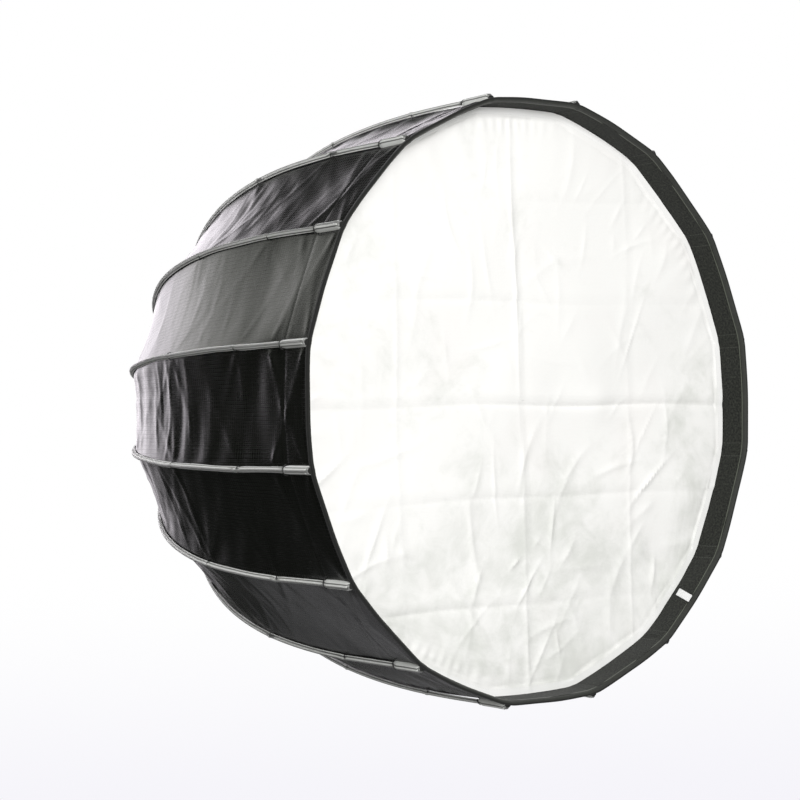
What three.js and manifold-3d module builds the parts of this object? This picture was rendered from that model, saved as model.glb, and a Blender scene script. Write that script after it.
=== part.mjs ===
// A deep sixteen-rib octabox for studio lamps: a quick-folding rib frame on a rotating bayonet ring,
// with sixteen canopy gores and a recessed front diffuser. Millimetres, +Z up.
//
// The box's axis is horizontal. Y = 0 is the face that seats on the lamp, and the box opens towards -Y.
// "Depth" below is the distance forward of that face, so y = -depth. "Radius" is measured from the axis.
import * as THREE from "three";
import { mergeVertices } from "three/addons/utils/BufferGeometryUtils.js";
import Module from "manifold-3d";

const wasm = await Module();
wasm.setup();

// ---- Driving dimensions -------------------------------------------------------------------------
const RIB_COUNT = 16;

const RIM_RADIUS = 400; // axis to a corner of the open rim
const HINGE_TO_RIM = 670; // depth from the rib hinges to the rim
const RIM_FLARE = 5; // degrees off the axis at which a rib reaches the rim
const RIM_PULL = 115; // how long the rib keeps that direction
const FOOT_SPLAY = 70; // degrees off the axis at which a rib leaves the hub
const ROD_PULL = 300; // how long the rod keeps that direction

const HINGE_RADIUS = 78;
const HINGE_DEPTH = 24;
const FOOT_LENGTH = 66; // hinge to the far end of the rib's foot
const ROD_START = 60; // hinge to the inner end of the rod, inside the foot
const FOOT_WIDTH = 9;
const FOOT_HEIGHT = 9;
const ROD_RADIUS = 2.5;
const TIP_RADIUS = 4;
const TIP_LENGTH = 14;

const PIN_LEVER = 50; // hinge to the strut pin, along the foot
const PIN_RADIUS = 1.8;
const PIN_PLAY = 1.6; // radial play of the strut's outer eye round its pin
const STRUT_THICKNESS = 3.2;
const STRUT_HEIGHT = 7;
const EYE_WALL = 2.2;
const WINDOW_REAR = 15; // the foot's window, from the pin towards the hub
const WINDOW_FRONT = 8; // and from the pin towards the rod

const WIRE_RADIUS = 1.5;
const WIRE_PLAY = 0.4;
const SIDE_PLAY = 0.5; // beside anything that swings in a slot
const FACE_GAP = 0.3; // between faces that are screwed together

const MOUNT_BORE = 48;
const COLLAR_WALL = 6;
const COLLAR_LENGTH = 7;
const LUG_HEIGHT = 4.5;
const LUG_THICKNESS = 2.5;
const LUG_SETBACK = 0.5; // lugs stand back from the collar's end
const LUG_ANGLE = 36;
const LUG_COUNT = 3;
const BOSS_RADIUS = 61;
const BOSS_DEPTH = 4;
const FLANGE_RADIUS = 68;
const FLANGE_THICKNESS = 4;
const TURN_PLAY = 0.4; // round the turning mount ring

const HUB_REAR = 0.5; // the hub stands back this much from the seat face
const HUB_RADIUS = 92;
const HUB_BASE_DEPTH = 18; // front of the hub's solid base
const CROWN_RADIUS = 90;
const CROWN_DEPTH = 27; // front of the teeth between the rib feet
const HUB_BORE = 72;
const RETAINER_THICKNESS = 2;
const RETAINER_BORE = 56;
const COVER_THICKNESS = 2.7;
const COVER_BORE = 63;
const COVER_RIM = 1; // a cover stands back from its body's edges by this much

const RUNNER_FORWARD = 42; // runner wire ahead of the rib hinges when the box is open
const RUNNER_PIVOT_RADIUS = 58;
const RUNNER_BORE = 47;
const RUNNER_RADIUS = 66;
const RUNNER_BACK = 6; // body behind its wire
const RUNNER_FRONT = 3; // body ahead of its wire
const RUNNER_SLOT_FLOOR = 52.5;

const LATCH_WIDTH = 8;
const LATCH_THICKNESS = 3;
const LATCH_TRAVEL = 6.5;
const LATCH_BORE_GAP = 1; // latch bar to the runner's bore
const NOSE_REACH = 0.4; // cut back so that the runner can pass it
const NOSE_THICKNESS = 5;
const NOSE_PLAY = 0.4;
const STEM_DEPTH = 13;
const STEM_HEIGHT = 4;
const STEM_PLAY = 0.4;
const CAP_RADIUS = 8;
const CAP_THICKNESS = 6;
const SPRING_RADIUS = 5.7;
const SPRING_WIRE = 0.6;
const SPRING_TURNS = 4;
const SPRING_POCKET = 8; // how deep the spring sits in the hub
const SPRING_POCKET_PLAY = 1.3;

const SCREW_RADIUS = 2;
const SCREW_PLAY = 0.3;
const KNOB_RADIUS = 8;
const KNOB_LENGTH = 13;
const KNOB_GAP = 3;

const CANOPY_START = 100; // radius of the canopy's rear opening
const CANOPY_THICKNESS = 1.6;
const CANOPY_INSET = 1; // canopy skin inside the rib's centre line
const SEAM_GAP = 6; // canopy edge to the rib's centre plane

const DIFFUSER_RECESS = 35;
const DIFFUSER_THICKNESS = 2.4;
const DIFFUSER_GAP = 1.2; // diffuser edge to the canopy's inner skin

// ---- Worked out from them -----------------------------------------------------------------------
const RIM_DEPTH = HINGE_DEPTH + HINGE_TO_RIM;
const PITCH = (2 * Math.PI) / RIB_COUNT;
const FLAT = Math.cos(PITCH / 2); // middle of a side of a regular polygon, as a share of its corner
const PRESSED_EDGE = HUB_RADIUS + FACE_GAP + LATCH_TRAVEL; // inner face of the button cap at rest
const RUNNER_DEPTH = HINGE_DEPTH + RUNNER_FORWARD;
const RUNNER_COVER_FRONT = RUNNER_DEPTH + RUNNER_FRONT + FACE_GAP + COVER_THICKNESS;
const SCREW_DEPTH = BOSS_DEPTH + FLANGE_THICKNESS / 2; // it bears on the middle of the flange's edge
const springFloor = HUB_RADIUS - SPRING_POCKET;
const ROUND = 3 * RIB_COUNT; // sides of a round ring

const radians = (degrees) => (degrees * Math.PI) / 180;

const FINISH = {
  castAlloy: { color: 0x2b2c2e, roughness: 0.55, metalness: 0.6 },
  turnedAlloy: { color: 0xb9bcc0, roughness: 0.35, metalness: 0.9 },
  springSteel: { color: 0x8f9296, roughness: 0.3, metalness: 1 },
  blackPlastic: { color: 0x1b1c1e, roughness: 0.5, metalness: 0 },
  signalRed: { color: 0xa3201c, roughness: 0.45, metalness: 0 },
  blackNylon: { color: 0x2c302c, roughness: 0.6, metalness: 0 },
  whiteNylon: { color: 0xf2f2ee, roughness: 0.8, metalness: 0 },
};

// ---- Solids -------------------------------------------------------------------------------------
function solid(geometry) {
  const bare = geometry.clone();
  bare.deleteAttribute("normal");
  bare.deleteAttribute("uv");
  const merged = mergeVertices(bare, 1e-4);
  const index = new Uint32Array(merged.index.array);
  const vertProperties = new Float32Array(merged.attributes.position.array);
  const made = new wasm.Manifold(new wasm.Mesh({ numProp: 3, vertProperties, triVerts: index }));
  if (made.volume() > 0) return made;
  const turned = index.map((_, i) => index[i - (i % 3) + [0, 2, 1][i % 3]]);
  return new wasm.Manifold(new wasm.Mesh({ numProp: 3, vertProperties, triVerts: turned }));
}

function meshOf(name, shape, finish) {
  const result = shape.getMesh();
  const geometry = new THREE.BufferGeometry();
  geometry.setAttribute("position", new THREE.BufferAttribute(result.vertProperties, 3));
  geometry.setIndex(new THREE.BufferAttribute(result.triVerts, 1));
  geometry.computeVertexNormals();
  const mesh = new THREE.Mesh(geometry, new THREE.MeshStandardMaterial(FINISH[finish]));
  mesh.name = name;
  return mesh;
}

// A ring turned round the box's axis from the (radius, depth) corners of its section.
function turned(corners, sides = ROUND) {
  const section = [...corners, corners[0]].map(([radius, depth]) => new THREE.Vector2(radius, -depth));
  return solid(new THREE.LatheGeometry(section, sides));
}

function ring(inner, outer, rear, front, sides = ROUND) {
  return turned([[inner, rear], [outer, rear], [outer, front], [inner, front]], sides);
}

// A block in a radial frame: X across, Y = -depth, Z outwards.
function block(width, rear, front, inner, outer) {
  const box = new THREE.BoxGeometry(width, front - rear, outer - inner);
  box.translate(0, -(front + rear) / 2, (inner + outer) / 2);
  return solid(box);
}

// A round bar along the radial Z, at a depth.
function radialBar(radius, depth, inner, outer, sides = 16) {
  const bar = new THREE.CylinderGeometry(radius, radius, outer - inner, sides);
  bar.rotateX(Math.PI / 2);
  bar.translate(0, -depth, (inner + outer) / 2);
  return solid(bar);
}

// A plate whose outline is drawn as (radius, depth) and whose thickness lies across the radial frame.
function sidePlate(outline, thickness) {
  const plate = new THREE.ExtrudeGeometry(outline, { depth: thickness, bevelEnabled: false });
  plate.translate(0, 0, -thickness / 2);
  const toRadialFrame = new THREE.Matrix4().set(0, 0, 1, 0, 0, -1, 0, 0, 1, 0, 0, 0, 0, 0, 0, 1);
  plate.applyMatrix4(toRadialFrame);
  return solid(plate);
}

// A pin across the radial frame, at a (radius, depth) point.
function crossPin(point, radius, length, sides = 10) {
  const corners = [];
  for (let i = 0; i < sides; i++) {
    const turn = (2 * Math.PI * i) / sides;
    corners.push(new THREE.Vector2(radius * Math.cos(turn), radius * Math.sin(turn)).add(point));
  }
  return sidePlate(new THREE.Shape(corners), length);
}

// The outline of a bar with rounded ends between two (radius, depth) points.
function stadium(from, to, halfHeight, sides = 4) {
  const heading = Math.atan2(to.y - from.y, to.x - from.x);
  const corners = [];
  for (const [centre, start] of [[to, heading - Math.PI / 2], [from, heading + Math.PI / 2]]) {
    for (let i = 0; i <= sides; i++) {
      const turn = start + (Math.PI * i) / sides;
      corners.push(new THREE.Vector2(halfHeight * Math.cos(turn), halfHeight * Math.sin(turn)).add(centre));
    }
  }
  return new THREE.Shape(corners);
}

function turnedTo(shape, angle) {
  return shape.rotate([0, (angle * 180) / Math.PI, 0]);
}

// Cuts the same radial tool out of a shape at every rib.
function cutAtRibs(shape, tool) {
  let result = shape;
  for (let k = 0; k < RIB_COUNT; k++) result = result.subtract(turnedTo(tool, ribAngle(k)));
  return result;
}

const ribAngle = (k) => (k + 0.5) * PITCH;
const goreAngle = (k) => (k + 1) * PITCH;
const label = (stem, k) => stem + "_" + String(k + 1).padStart(2, "0");

// ---- The rib's line, as (radius, depth) points ---------------------------------------------------
const hingePoint = new THREE.Vector2(HINGE_RADIUS, HINGE_DEPTH);
const footDirection = new THREE.Vector2(Math.sin(radians(FOOT_SPLAY)), Math.cos(radians(FOOT_SPLAY)));
const rimDirection = new THREE.Vector2(Math.sin(radians(RIM_FLARE)), Math.cos(radians(RIM_FLARE)));
const alongFoot = (distance) => hingePoint.clone().addScaledVector(footDirection, distance);
const rimPoint = new THREE.Vector2(RIM_RADIUS, RIM_DEPTH);
const rodLine = new THREE.CubicBezierCurve(
  alongFoot(ROD_START),
  alongFoot(ROD_START + ROD_PULL),
  rimPoint.clone().addScaledVector(rimDirection, -RIM_PULL),
  rimPoint,
);
const pinPoint = alongFoot(PIN_LEVER);
const runnerPoint = new THREE.Vector2(RUNNER_PIVOT_RADIUS, RUNNER_DEPTH);

class RodPath extends THREE.Curve {
  getPoint(t, target = new THREE.Vector3()) {
    const point = rodLine.getPoint(t);
    return target.set(0, -point.y, point.x);
  }
}

function radiusAtDepth(depth) {
  let low = 0;
  let high = 1;
  for (let i = 0; i < 30; i++) {
    const middle = (low + high) / 2;
    if (rodLine.getPoint(middle).y < depth) low = middle;
    else high = middle;
  }
  return rodLine.getPoint(low).x;
}

// ---- Ribs and struts ----------------------------------------------------------------------------
function ribSolid() {
  const circle = new THREE.Shape();
  circle.absarc(0, 0, ROD_RADIUS, 0, 2 * Math.PI);
  const path = new RodPath();
  const rod = solid(
    new THREE.ExtrudeGeometry(circle, { steps: 14, curveSegments: 3, bevelEnabled: false, extrudePath: path }),
  );
  const foot = sidePlate(stadium(hingePoint, alongFoot(FOOT_LENGTH), FOOT_HEIGHT / 2), FOOT_WIDTH);
  const eye = crossPin(hingePoint, WIRE_RADIUS + 1.5 * WIRE_PLAY, FOOT_WIDTH + 2, 8);
  const windowShape = stadium(alongFoot(PIN_LEVER - WINDOW_REAR), alongFoot(PIN_LEVER + WINDOW_FRONT), FOOT_HEIGHT);
  const strutWindow = sidePlate(windowShape, STRUT_THICKNESS + 2 * SIDE_PLAY);
  const pin = crossPin(pinPoint, PIN_RADIUS, FOOT_WIDTH - 1, 6);
  const tip = new THREE.CylinderGeometry(TIP_RADIUS, TIP_RADIUS, TIP_LENGTH, 8);
  const tipEnd = rimPoint.clone().addScaledVector(rimDirection, -TIP_LENGTH / 2);
  tip.rotateX(-radians(RIM_FLARE));
  tip.translate(0, -tipEnd.y, tipEnd.x);
  return foot.subtract(strutWindow).subtract(eye).add(pin).add(rod).add(solid(tip));
}

function strutSolid() {
  const bar = sidePlate(stadium(runnerPoint, pinPoint, STRUT_HEIGHT / 2), STRUT_THICKNESS);
  const outerEye = PIN_RADIUS + PIN_PLAY;
  const boss = crossPin(pinPoint, outerEye + EYE_WALL, STRUT_THICKNESS, 10);
  const outerHole = crossPin(pinPoint, outerEye, STRUT_THICKNESS + 2, 8);
  const innerHole = crossPin(runnerPoint, WIRE_RADIUS + 1.5 * WIRE_PLAY, STRUT_THICKNESS + 2, 8);
  return bar.add(boss).subtract(outerHole).subtract(innerHole);
}

// A wire ring with one straight side through every eye.
function wireSolid(radius, depth) {
  const wire = new THREE.TorusGeometry(radius / FLAT, WIRE_RADIUS, 6, RIB_COUNT);
  wire.rotateX(Math.PI / 2);
  wire.translate(0, -depth, 0);
  return solid(wire);
}

// ---- Hub ----------------------------------------------------------------------------------------
// The corners of the groove that holds a pivot wire, open at the front of its ring.
function grooveCorners(radius, depth, front) {
  const floor = depth - WIRE_RADIUS - WIRE_PLAY;
  const outer = (radius + WIRE_RADIUS + WIRE_PLAY) / FLAT;
  const inner = radius - WIRE_RADIUS - 2 * WIRE_PLAY;
  return [[outer, front], [outer, floor], [inner, floor], [inner, front]];
}

const flangeFront = BOSS_DEPTH + FLANGE_THICKNESS;
const retainerRear = flangeFront + TURN_PLAY;
const footSlot = () => {
  const floor = HINGE_DEPTH - FOOT_HEIGHT / 2 - SIDE_PLAY;
  return block(FOOT_WIDTH + 2 * SIDE_PLAY, floor, CROWN_DEPTH + 9, HINGE_RADIUS - FOOT_HEIGHT, HUB_RADIUS + 9);
};
const stemSlot = () => {
  const half = STEM_HEIGHT / 2 + STEM_PLAY;
  return block(LATCH_WIDTH + 2 * STEM_PLAY, STEM_DEPTH - half, STEM_DEPTH + half, HUB_BORE - 9, HUB_RADIUS + 9);
};

function hubBody() {
  const bossSeat = BOSS_RADIUS + TURN_PLAY;
  const flangeSeat = FLANGE_RADIUS + TURN_PLAY;
  const body = turned([
    [bossSeat, HUB_REAR],
    [HUB_RADIUS, HUB_REAR],
    [HUB_RADIUS, HUB_BASE_DEPTH],
    [CROWN_RADIUS, HUB_BASE_DEPTH],
    [CROWN_RADIUS, CROWN_DEPTH],
    ...grooveCorners(HINGE_RADIUS, HINGE_DEPTH, CROWN_DEPTH),
    [HUB_BORE, CROWN_DEPTH],
    [HUB_BORE, retainerRear - FACE_GAP],
    [flangeSeat, retainerRear - FACE_GAP],
    [flangeSeat, BOSS_DEPTH - TURN_PLAY],
    [bossSeat, BOSS_DEPTH - TURN_PLAY],
  ]);
  const pocket = radialBar(SPRING_RADIUS + SPRING_POCKET_PLAY, STEM_DEPTH, springFloor, HUB_RADIUS + 5, 12);
  const screwHole = radialBar(SCREW_RADIUS + SCREW_PLAY, SCREW_DEPTH, FLANGE_RADIUS, HUB_RADIUS + 5, 10);
  const drilled = body.subtract(stemSlot()).subtract(pocket).subtract(turnedTo(screwHole, Math.PI));
  return cutAtRibs(drilled, footSlot());
}

function hubCover() {
  const rear = CROWN_DEPTH + FACE_GAP;
  const plate = ring(COVER_BORE, CROWN_RADIUS - COVER_RIM, rear, rear + COVER_THICKNESS);
  const innerBand = HINGE_RADIUS - FOOT_HEIGHT / 2 - SIDE_PLAY;
  const slot = block(FOOT_WIDTH + 2 * SIDE_PLAY, rear - 1, rear + 9, innerBand, HUB_RADIUS + 9);
  return cutAtRibs(plate, slot);
}

function mountRing() {
  const collarOuter = MOUNT_BORE + COLLAR_WALL;
  let body = turned([
    [MOUNT_BORE, -COLLAR_LENGTH],
    [collarOuter, -COLLAR_LENGTH],
    [collarOuter, 0],
    [BOSS_RADIUS, 0],
    [BOSS_RADIUS, BOSS_DEPTH],
    [FLANGE_RADIUS, BOSS_DEPTH],
    [FLANGE_RADIUS, flangeFront],
    [MOUNT_BORE, flangeFront],
  ]);
  const lug = lugSolid(collarOuter - 2, collarOuter + LUG_HEIGHT);
  for (let i = 0; i < LUG_COUNT; i++) body = body.add(turnedTo(lug, radians(60 + (360 * i) / LUG_COUNT)));
  return body;
}

function lugSolid(inner, outer) {
  const half = radians(LUG_ANGLE / 2);
  const outline = new THREE.Shape();
  outline.absarc(0, 0, outer, Math.PI / 2 - half, Math.PI / 2 + half, false);
  outline.absarc(0, 0, inner, Math.PI / 2 + half, Math.PI / 2 - half, true);
  const lug = new THREE.ExtrudeGeometry(outline, { depth: LUG_THICKNESS, curveSegments: 8, bevelEnabled: false });
  lug.rotateX(Math.PI / 2);
  lug.translate(0, COLLAR_LENGTH - LUG_SETBACK, 0);
  return solid(lug);
}

const mountRetainer = () =>
  ring(RETAINER_BORE, HUB_BORE - FACE_GAP, retainerRear, retainerRear + RETAINER_THICKNESS);

// ---- Runner -------------------------------------------------------------------------------------
const strutSlot = () => {
  const width = STRUT_THICKNESS + 2 * SIDE_PLAY;
  return block(width, RUNNER_DEPTH - RUNNER_BACK - 5, RUNNER_COVER_FRONT + 5, RUNNER_SLOT_FLOOR, RUNNER_RADIUS + 5);
};

function runnerBody() {
  const rear = RUNNER_DEPTH - RUNNER_BACK;
  const front = RUNNER_DEPTH + RUNNER_FRONT;
  const body = turned([
    [RUNNER_BORE, rear],
    [RUNNER_RADIUS, rear],
    [RUNNER_RADIUS, front],
    ...grooveCorners(RUNNER_PIVOT_RADIUS, RUNNER_DEPTH, front),
    [RUNNER_BORE, front],
  ]);
  return cutAtRibs(body, strutSlot());
}

function runnerCover() {
  const plate = ring(
    RUNNER_BORE + COVER_RIM,
    RUNNER_RADIUS - COVER_RIM,
    RUNNER_COVER_FRONT - COVER_THICKNESS,
    RUNNER_COVER_FRONT,
  );
  return cutAtRibs(plate, strutSlot());
}

// ---- Latch, spring and lock screw ------------------------------------------------------------------
function releaseButton() {
  const barOuter = RUNNER_BORE - LATCH_BORE_GAP;
  const barInner = barOuter - LATCH_THICKNESS;
  const stemRear = STEM_DEPTH - STEM_HEIGHT / 2;
  const noseRear = RUNNER_COVER_FRONT + NOSE_PLAY;
  const stem = block(LATCH_WIDTH, stemRear, stemRear + STEM_HEIGHT, barInner, PRESSED_EDGE + 1);
  const bar = block(LATCH_WIDTH, stemRear, noseRear + NOSE_THICKNESS, barInner, barOuter);
  const nose = block(LATCH_WIDTH, noseRear, noseRear + NOSE_THICKNESS, barInner, barOuter + NOSE_REACH);
  const cap = radialBar(CAP_RADIUS, STEM_DEPTH, PRESSED_EDGE, PRESSED_EDGE + CAP_THICKNESS, 24);
  return stem.add(bar).add(nose).add(cap);
}

function buttonSpring() {
  const inner = springFloor + FACE_GAP + SPRING_WIRE;
  const outer = PRESSED_EDGE - FACE_GAP - SPRING_WIRE;
  class Coil extends THREE.Curve {
    getPoint(t, target = new THREE.Vector3()) {
      const turn = 2 * Math.PI * SPRING_TURNS * t;
      const x = SPRING_RADIUS * Math.cos(turn);
      const y = SPRING_RADIUS * Math.sin(turn);
      return target.set(x, y - STEM_DEPTH, inner + (outer - inner) * t);
    }
  }
  const wire = new THREE.Shape();
  wire.absarc(0, 0, SPRING_WIRE, 0, 2 * Math.PI);
  const extrudePath = new Coil();
  const steps = 9 * SPRING_TURNS;
  return solid(new THREE.ExtrudeGeometry(wire, { steps, curveSegments: 2, bevelEnabled: false, extrudePath }));
}

function lockScrew() {
  const knobInner = HUB_RADIUS + KNOB_GAP;
  const shank = radialBar(SCREW_RADIUS, SCREW_DEPTH, FLANGE_RADIUS + FACE_GAP, knobInner + 1, 12);
  const knob = radialBar(KNOB_RADIUS, SCREW_DEPTH, knobInner, knobInner + KNOB_LENGTH, 24);
  return turnedTo(shank.add(knob), Math.PI);
}

// ---- Fabric -------------------------------------------------------------------------------------
// Stations of the canopy's line from its rear opening to the rim, moved inwards by a distance.
function canopyLine(inset) {
  const start = (CANOPY_START - HINGE_RADIUS) / footDirection.x;
  const points = [alongFoot(start)];
  const tangents = [footDirection];
  const rows = 13;
  for (let i = 0; i <= rows; i++) {
    points.push(rodLine.getPoint(i / rows));
    tangents.push(rodLine.getTangent(i / rows));
  }
  return points.map((point, i) => new THREE.Vector2(-tangents[i].y, tangents[i].x).multiplyScalar(inset).add(point));
}

// One gore, flat across, in a radial frame through its middle.
function goreSolid() {
  const outer = canopyLine(CANOPY_INSET);
  const inner = canopyLine(CANOPY_INSET + CANOPY_THICKNESS);
  const corners = [];
  outer.forEach((point, i) => {
    for (const [side, line] of [[-1, point], [1, point], [1, inner[i]], [-1, inner[i]]]) {
      const halfWidth = line.x * Math.sin(PITCH / 2) - SEAM_GAP;
      corners.push(side * halfWidth, -line.y, line.x * FLAT);
    }
  });
  const faces = [0, 1, 2, 0, 2, 3];
  const last = 4 * (outer.length - 1);
  faces.push(last, last + 2, last + 1, last, last + 3, last + 2);
  for (let i = 0; i < outer.length - 1; i++) {
    for (let side = 0; side < 4; side++) {
      const a = 4 * i + side;
      const b = 4 * i + ((side + 1) % 4);
      faces.push(a, a + 4, b, b, a + 4, b + 4);
    }
  }
  const geometry = new THREE.BufferGeometry();
  geometry.setAttribute("position", new THREE.Float32BufferAttribute(corners, 3));
  geometry.setIndex(faces);
  return solid(geometry);
}

// A flat sheet with a corner at every rib, set back inside the rim.
function diffuserSolid() {
  const front = RIM_DEPTH - DIFFUSER_RECESS;
  const skin = (CANOPY_INSET + CANOPY_THICKNESS) / Math.cos(radians(RIM_FLARE));
  const apothem = (radiusAtDepth(front - DIFFUSER_THICKNESS) - skin) * FLAT - DIFFUSER_GAP;
  const cornerTrim = new THREE.CylinderGeometry(apothem / FLAT, apothem / FLAT, DIFFUSER_THICKNESS, RIB_COUNT);
  cornerTrim.rotateY(PITCH / 2);
  cornerTrim.translate(0, -(front - DIFFUSER_THICKNESS / 2), 0);
  const ribClear = radiusAtDepth(front - DIFFUSER_THICKNESS) - ROD_RADIUS - DIFFUSER_GAP;
  return solid(cornerTrim).intersect(ring(0, ribClear, front - 9, front + 9, 2 * RIB_COUNT));
}

// ---- Assembly -----------------------------------------------------------------------------------
const octabox = new THREE.Group();
octabox.add(
  meshOf("mount_ring", mountRing(), "turnedAlloy"),
  meshOf("mount_retainer", mountRetainer(), "springSteel"),
  meshOf("hub_body", hubBody(), "castAlloy"),
  meshOf("hub_cover", hubCover(), "castAlloy"),
  meshOf("hub_pivot_wire", wireSolid(HINGE_RADIUS, HINGE_DEPTH), "springSteel"),
  meshOf("runner_body", runnerBody(), "castAlloy"),
  meshOf("runner_cover", runnerCover(), "castAlloy"),
  meshOf("runner_pivot_wire", wireSolid(RUNNER_PIVOT_RADIUS, RUNNER_DEPTH), "springSteel"),
  meshOf("release_button", releaseButton(), "signalRed"),
  meshOf("button_spring", buttonSpring(), "springSteel"),
  meshOf("lock_screw", lockScrew(), "blackPlastic"),
  meshOf("front_diffuser", diffuserSolid(), "whiteNylon"),
);

const rib = ribSolid();
const strut = strutSolid();
const gore = goreSolid();
for (let k = 0; k < RIB_COUNT; k++) {
  const atRib = new THREE.Group();
  atRib.rotation.y = ribAngle(k);
  atRib.add(meshOf(label("rib", k), rib, "turnedAlloy"));
  atRib.add(meshOf(label("strut", k), strut, "springSteel"));
  const atGore = new THREE.Group();
  atGore.rotation.y = goreAngle(k);
  atGore.add(meshOf(label("canopy_panel", k), gore, "blackNylon"));
  octabox.add(atRib, atGore);
}

export default octabox;
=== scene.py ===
"""The looks of a deep sixteen-rib octabox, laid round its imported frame.

Metres, +Z up. The box's axis runs along Y and it opens towards -Y. "Depth" is -Y, "radius" is measured
from the axis, and an angle round the axis runs from +Z towards +X.
"""
import math

import bmesh
import bpy
import numpy as np
from mathutils import Matrix, Vector


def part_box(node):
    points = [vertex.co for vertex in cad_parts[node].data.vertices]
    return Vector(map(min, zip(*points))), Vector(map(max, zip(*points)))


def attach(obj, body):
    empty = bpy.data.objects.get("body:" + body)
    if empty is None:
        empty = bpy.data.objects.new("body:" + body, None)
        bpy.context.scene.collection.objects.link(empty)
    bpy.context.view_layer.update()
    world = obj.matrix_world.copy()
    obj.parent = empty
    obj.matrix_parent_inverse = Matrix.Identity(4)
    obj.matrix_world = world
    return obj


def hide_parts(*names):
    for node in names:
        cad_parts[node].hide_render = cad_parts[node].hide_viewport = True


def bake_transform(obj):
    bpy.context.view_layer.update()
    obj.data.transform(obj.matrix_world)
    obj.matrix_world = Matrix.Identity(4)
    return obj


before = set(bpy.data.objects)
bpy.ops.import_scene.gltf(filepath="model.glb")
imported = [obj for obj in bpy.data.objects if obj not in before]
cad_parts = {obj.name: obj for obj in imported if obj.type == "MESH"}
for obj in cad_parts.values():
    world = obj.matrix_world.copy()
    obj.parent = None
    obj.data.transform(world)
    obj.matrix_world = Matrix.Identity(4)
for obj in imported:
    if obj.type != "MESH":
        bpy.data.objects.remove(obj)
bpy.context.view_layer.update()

# ---- Sizes ------------------------------------------------------------------------------------------
RIBS = 16
PITCH = 2 * math.pi / RIBS
FLAT = math.cos(PITCH / 2)

HINGE = np.array([0.078, 0.024])  # radius and depth of the rib hinges
FOOT_WAY = np.array([math.sin(math.radians(70)), math.cos(math.radians(70))])
RIM_WAY = np.array([math.sin(math.radians(5)), math.cos(math.radians(5))])
RIM = np.array([0.400, 0.694])
ROD_START = 0.060
ROD_PULL = 0.300
RIM_PULL = 0.115
COLLAR_RADIUS = 0.100  # rear opening of the canopy

CLOTH_OUTSIDE_FOOT = 0.0064  # the cloth lies behind the rib's foot near the hub
CLOTH_INSIDE_ROD = -0.0030  # and inside the rod, which runs in its sleeve
SLIT_FROM, SLIT_TO = 0.150, 0.178  # radius between which the rod passes through the cloth
CLOTH_THICKNESS = 0.0006
TAB_GORE = 5  # the gore that carries the blank tab

HEM_REACH = 0.003  # how far the hem stands past the rib tips
TAPE_WIDTH = 0.049  # tape band inside the rim, and the seam outside it
POCKET_LENGTH = 0.050
TACKS = (0.153, 0.328)  # from the rim, along the rib
SLEEVE_START = 0.168  # radius
SLEEVE_WIDTH = 0.0077
POCKET_WIDTH = 0.0110

DIFFUSER_DEPTH = 0.657
RING_RADIUS = 0.334  # where the diffuser's outer ring starts
DIFFUSER_EDGE = 0.0048  # diffuser's edge inside the rib line


# ---- The rib's line ---------------------------------------------------------------------------------
def rib_stations():
    """(radius, depth) points along a rib, from the canopy's rear opening to the rim."""
    start = (COLLAR_RADIUS - HINGE[0]) / FOOT_WAY[0]
    foot = [HINGE + FOOT_WAY * reach for reach in np.linspace(start, ROD_START, 12)[:-1]]
    t = np.linspace(0, 1, 240)[:, None]
    a = HINGE + FOOT_WAY * ROD_START
    b = HINGE + FOOT_WAY * (ROD_START + ROD_PULL)
    c = RIM - RIM_WAY * RIM_PULL
    rod = (1 - t) ** 3 * a + 3 * (1 - t) ** 2 * t * b + 3 * (1 - t) * t * t * c + t**3 * RIM
    return np.vstack([foot, rod])


STATIONS = rib_stations()
RUN = np.concatenate([[0], np.cumsum(np.linalg.norm(np.diff(STATIONS, axis=0), axis=1))])
LENGTH = RUN[-1]


def on_rib(run):
    """Points (radius, depth) at lengths from the collar; past the rim the line runs straight on."""
    run = np.asarray(run, float)
    inside = np.clip(run, 0, LENGTH)
    point = np.stack([np.interp(inside, RUN, STATIONS[:, i]) for i in (0, 1)], -1)
    return point + (run - inside)[..., None] * RIM_WAY


def outward(run):
    """Unit (radius, depth) directions square to the rib, away from the inside of the box."""
    step = 0.002
    way = on_rib(np.asarray(run) + step) - on_rib(np.maximum(np.asarray(run) - step, 0))
    way /= np.linalg.norm(way, axis=-1, keepdims=True)
    return np.stack([way[..., 1], -way[..., 0]], -1)


def run_at_radius(radius):
    return float(np.interp(radius, STATIONS[:, 0], RUN))


def run_at_depth(depth):
    return float(np.interp(depth, STATIONS[:, 1], RUN))


def place(point, angle):
    """(radius, depth) points, turned to an angle round the axis, as x, y, z."""
    point, angle = np.asarray(point, float), np.asarray(angle, float)
    return np.stack(
        [point[..., 0] * np.sin(angle), -point[..., 1] + 0 * angle, point[..., 0] * np.cos(angle)], -1
    )


def rib_angle(k):
    return (k + 0.5) * PITCH


def gore_angle(k):
    return (k + 1) * PITCH


def numbered(stem, k):
    return f"{stem}_{k % RIBS + 1:02d}"


def ease(low, high, value):
    t = np.clip((np.asarray(value, float) - low) / (high - low), 0, 1)
    return t * t * (3 - 2 * t)


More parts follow.
